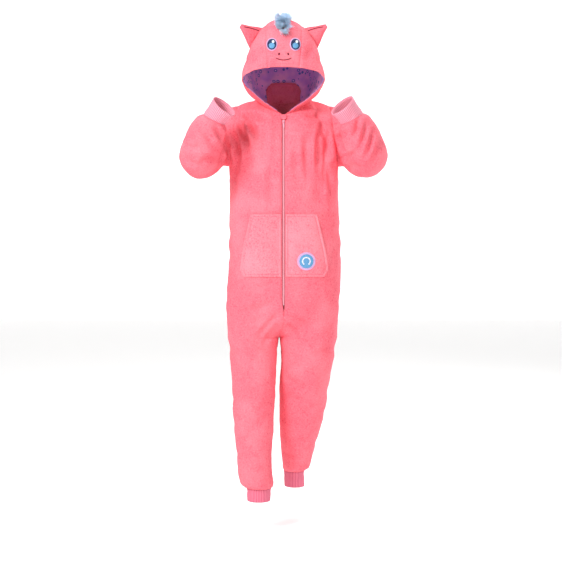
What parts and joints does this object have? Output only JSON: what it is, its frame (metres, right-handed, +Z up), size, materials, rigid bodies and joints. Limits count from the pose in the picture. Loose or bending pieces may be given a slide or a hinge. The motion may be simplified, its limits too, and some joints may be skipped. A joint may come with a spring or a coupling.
{
  "type": "hooded costume",
  "caption": "Hooded fleece all-in-one pony costume, worn-up and hollow, with ears and a fur forelock on the hood, front zip, pouch pocket and rib cuffs.",
  "frame": {"origin": "middle of the shoulder line inside the garment, 1.56 m above the wearer's floor, where the wearer's shoulders hold it", "axes": "+Z up, the front faces -Y, +X towards the wearer's left"},
  "size_m": [0.7315, 0.414, 1.7803],
  "materials": {
    "pink_fleece": "matt plush fleece",
    "pink_rib": "matt ribbed knit",
    "printed_jersey": "smooth printed jersey",
    "blue_fur": "soft long pile",
    "patch_thread": "satin embroidery thread",
    "zip_tape": "woven tape",
    "zip_coil": "satin",
    "zip_metal": "satin"
  },
  "bodies": {
    "garment": {"front_right": "pink_fleece", "front_left": "pink_fleece", "back_right": "pink_fleece", "back_left": "pink_fleece", "sleeve_right": "pink_fleece", "sleeve_left": "pink_fleece", "hood_right": "pink_fleece", "hood_centre": "pink_fleece", "hood_left": "pink_fleece", "ear_front_right": "pink_fleece", "ear_back_right": "pink_fleece", "ear_front_left": "pink_fleece", "ear_back_left": "pink_fleece", "pocket_right": "pink_fleece", "pocket_left": "pink_fleece", "zip_guard": "pink_fleece", "cuff_right": "pink_rib", "cuff_left": "pink_rib", "ankle_cuff_right": "pink_rib", "ankle_cuff_left": "pink_rib", "hood_lining": "printed_jersey", "forelock": "blue_fur", "patch": "patch_thread", "zip_tape_right": "zip_tape", "zip_tape_left": "zip_tape", "zip_coil": "zip_coil", "zip_slider": "zip_metal"},
    "pull": {"pull_tab": "zip_metal"}
  },
  "joints": [
    {"name": "pull_tab_swing", "type": "hinge", "parent": "garment", "child": "pull", "pos_m": [0, -0.11452, -0.07841], "axis": [-1, 0, 0], "range_deg": [0, 120]}
  ]
}
